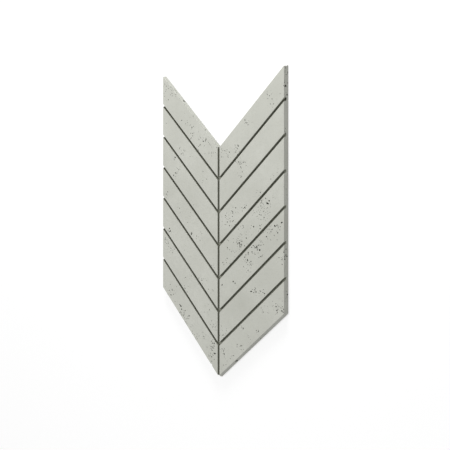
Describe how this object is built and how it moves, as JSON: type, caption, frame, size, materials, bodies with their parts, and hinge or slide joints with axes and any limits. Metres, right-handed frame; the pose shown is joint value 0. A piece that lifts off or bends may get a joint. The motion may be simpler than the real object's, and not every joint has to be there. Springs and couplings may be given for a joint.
{
  "type": "chevron concrete wall panel",
  "caption": "Flat chevron-shaped cast concrete wall panel with V-laid courses marked by grooves; one panel's point nests in the next one's notch.",
  "frame": {"origin": "on the back face, on the centre line, midway between the point and the line of the two horns of the patterned face", "axes": "+X across the panel to its right, +Y along the panel from the point to the notch, +Z out of the patterned face; it lies on its back"},
  "size_m": [0.4062, 0.8005, 0.015],
  "materials": {
    "concrete": "matte"
  },
  "bodies": {
    "root": {"wall_panel": "concrete"}
  },
  "joints": []
}
